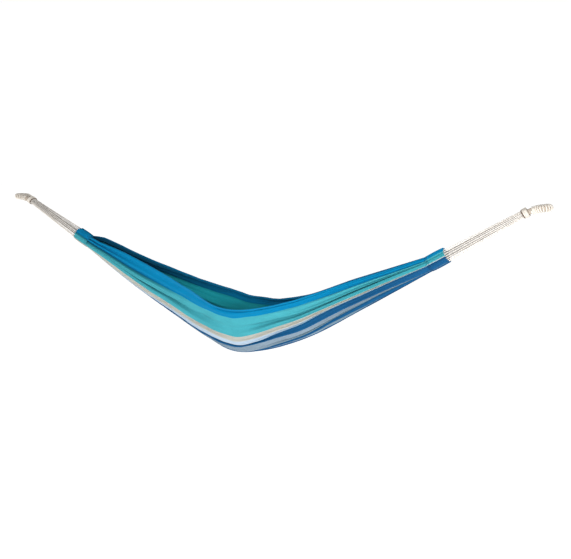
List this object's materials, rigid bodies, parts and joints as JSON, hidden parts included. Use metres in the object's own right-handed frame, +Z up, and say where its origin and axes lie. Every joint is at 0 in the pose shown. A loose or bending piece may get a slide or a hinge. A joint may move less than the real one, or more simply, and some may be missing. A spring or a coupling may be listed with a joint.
{
  "type": "cloth hammock",
  "caption": "Striped cloth hammock hung empty between two hooks: gathered ends, fanned harness cords and a served hanging eye at each end.",
  "frame": {"origin": "where the head hook bears, on the inner side of the head eye's crown", "axes": "+X from the head eye to the foot eye, +Z up, +Y across the bed"},
  "size_m": [2.9476, 0.31, 0.7932],
  "materials": {
    "striped_cloth": "woven cotton",
    "hem_cloth": "doubled woven cotton",
    "cotton_cord": "laid cotton cord",
    "serving_cord": "cord wound round the eye",
    "seam_thread": "sewing thread"
  },
  "bodies": {
    "head_eye": {"head_eye_core": "cotton_cord", "head_eye_serving": "serving_cord", "head_neck_binding": "serving_cord"},
    "bed": {"bed_cloth": "striped_cloth", "head_cord_01": "cotton_cord", "head_cord_02": "cotton_cord", "head_cord_03": "cotton_cord", "head_cord_04": "cotton_cord", "head_cord_05": "cotton_cord", "head_cord_06": "cotton_cord", "head_cord_07": "cotton_cord", "head_cord_08": "cotton_cord", "head_cord_09": "cotton_cord", "head_cord_10": "cotton_cord", "head_cord_11": "cotton_cord", "head_cord_12": "cotton_cord", "head_cord_13": "cotton_cord", "head_cord_14": "cotton_cord", "head_cord_15": "cotton_cord", "head_cord_16": "cotton_cord", "head_hem_cord": "cotton_cord", "head_end_hem": "hem_cloth", "head_seam_thread": "seam_thread", "foot_cord_01": "cotton_cord", "foot_cord_02": "cotton_cord", "foot_cord_03": "cotton_cord", "foot_cord_04": "cotton_cord", "foot_cord_05": "cotton_cord", "foot_cord_06": "cotton_cord", "foot_cord_07": "cotton_cord", "foot_cord_08": "cotton_cord", "foot_cord_09": "cotton_cord", "foot_cord_10": "cotton_cord", "foot_cord_11": "cotton_cord", "foot_cord_12": "cotton_cord", "foot_cord_13": "cotton_cord", "foot_cord_14": "cotton_cord", "foot_cord_15": "cotton_cord", "foot_cord_16": "cotton_cord", "foot_hem_cord": "cotton_cord", "foot_end_hem": "hem_cloth", "foot_seam_thread": "seam_thread"},
    "foot_eye": {"foot_eye_core": "cotton_cord", "foot_eye_serving": "serving_cord", "foot_neck_binding": "serving_cord"}
  },
  "joints": [
    {"name": "swing", "type": "hinge", "parent": "head_eye", "child": "bed", "pos_m": [0.0831, 0, -0.028], "axis": [1, 0, 0], "range_deg": [-45, 45]},
    {"name": "foot_eye_roll", "type": "hinge", "parent": "bed", "child": "foot_eye", "pos_m": [2.7969, 0, -0.028], "axis": [1, 0, 0], "range_deg": [-45, 45]}
  ],
  "couplings": [
    {"joint": "foot_eye_roll", "follows": "swing", "ratio": -1}
  ]
}
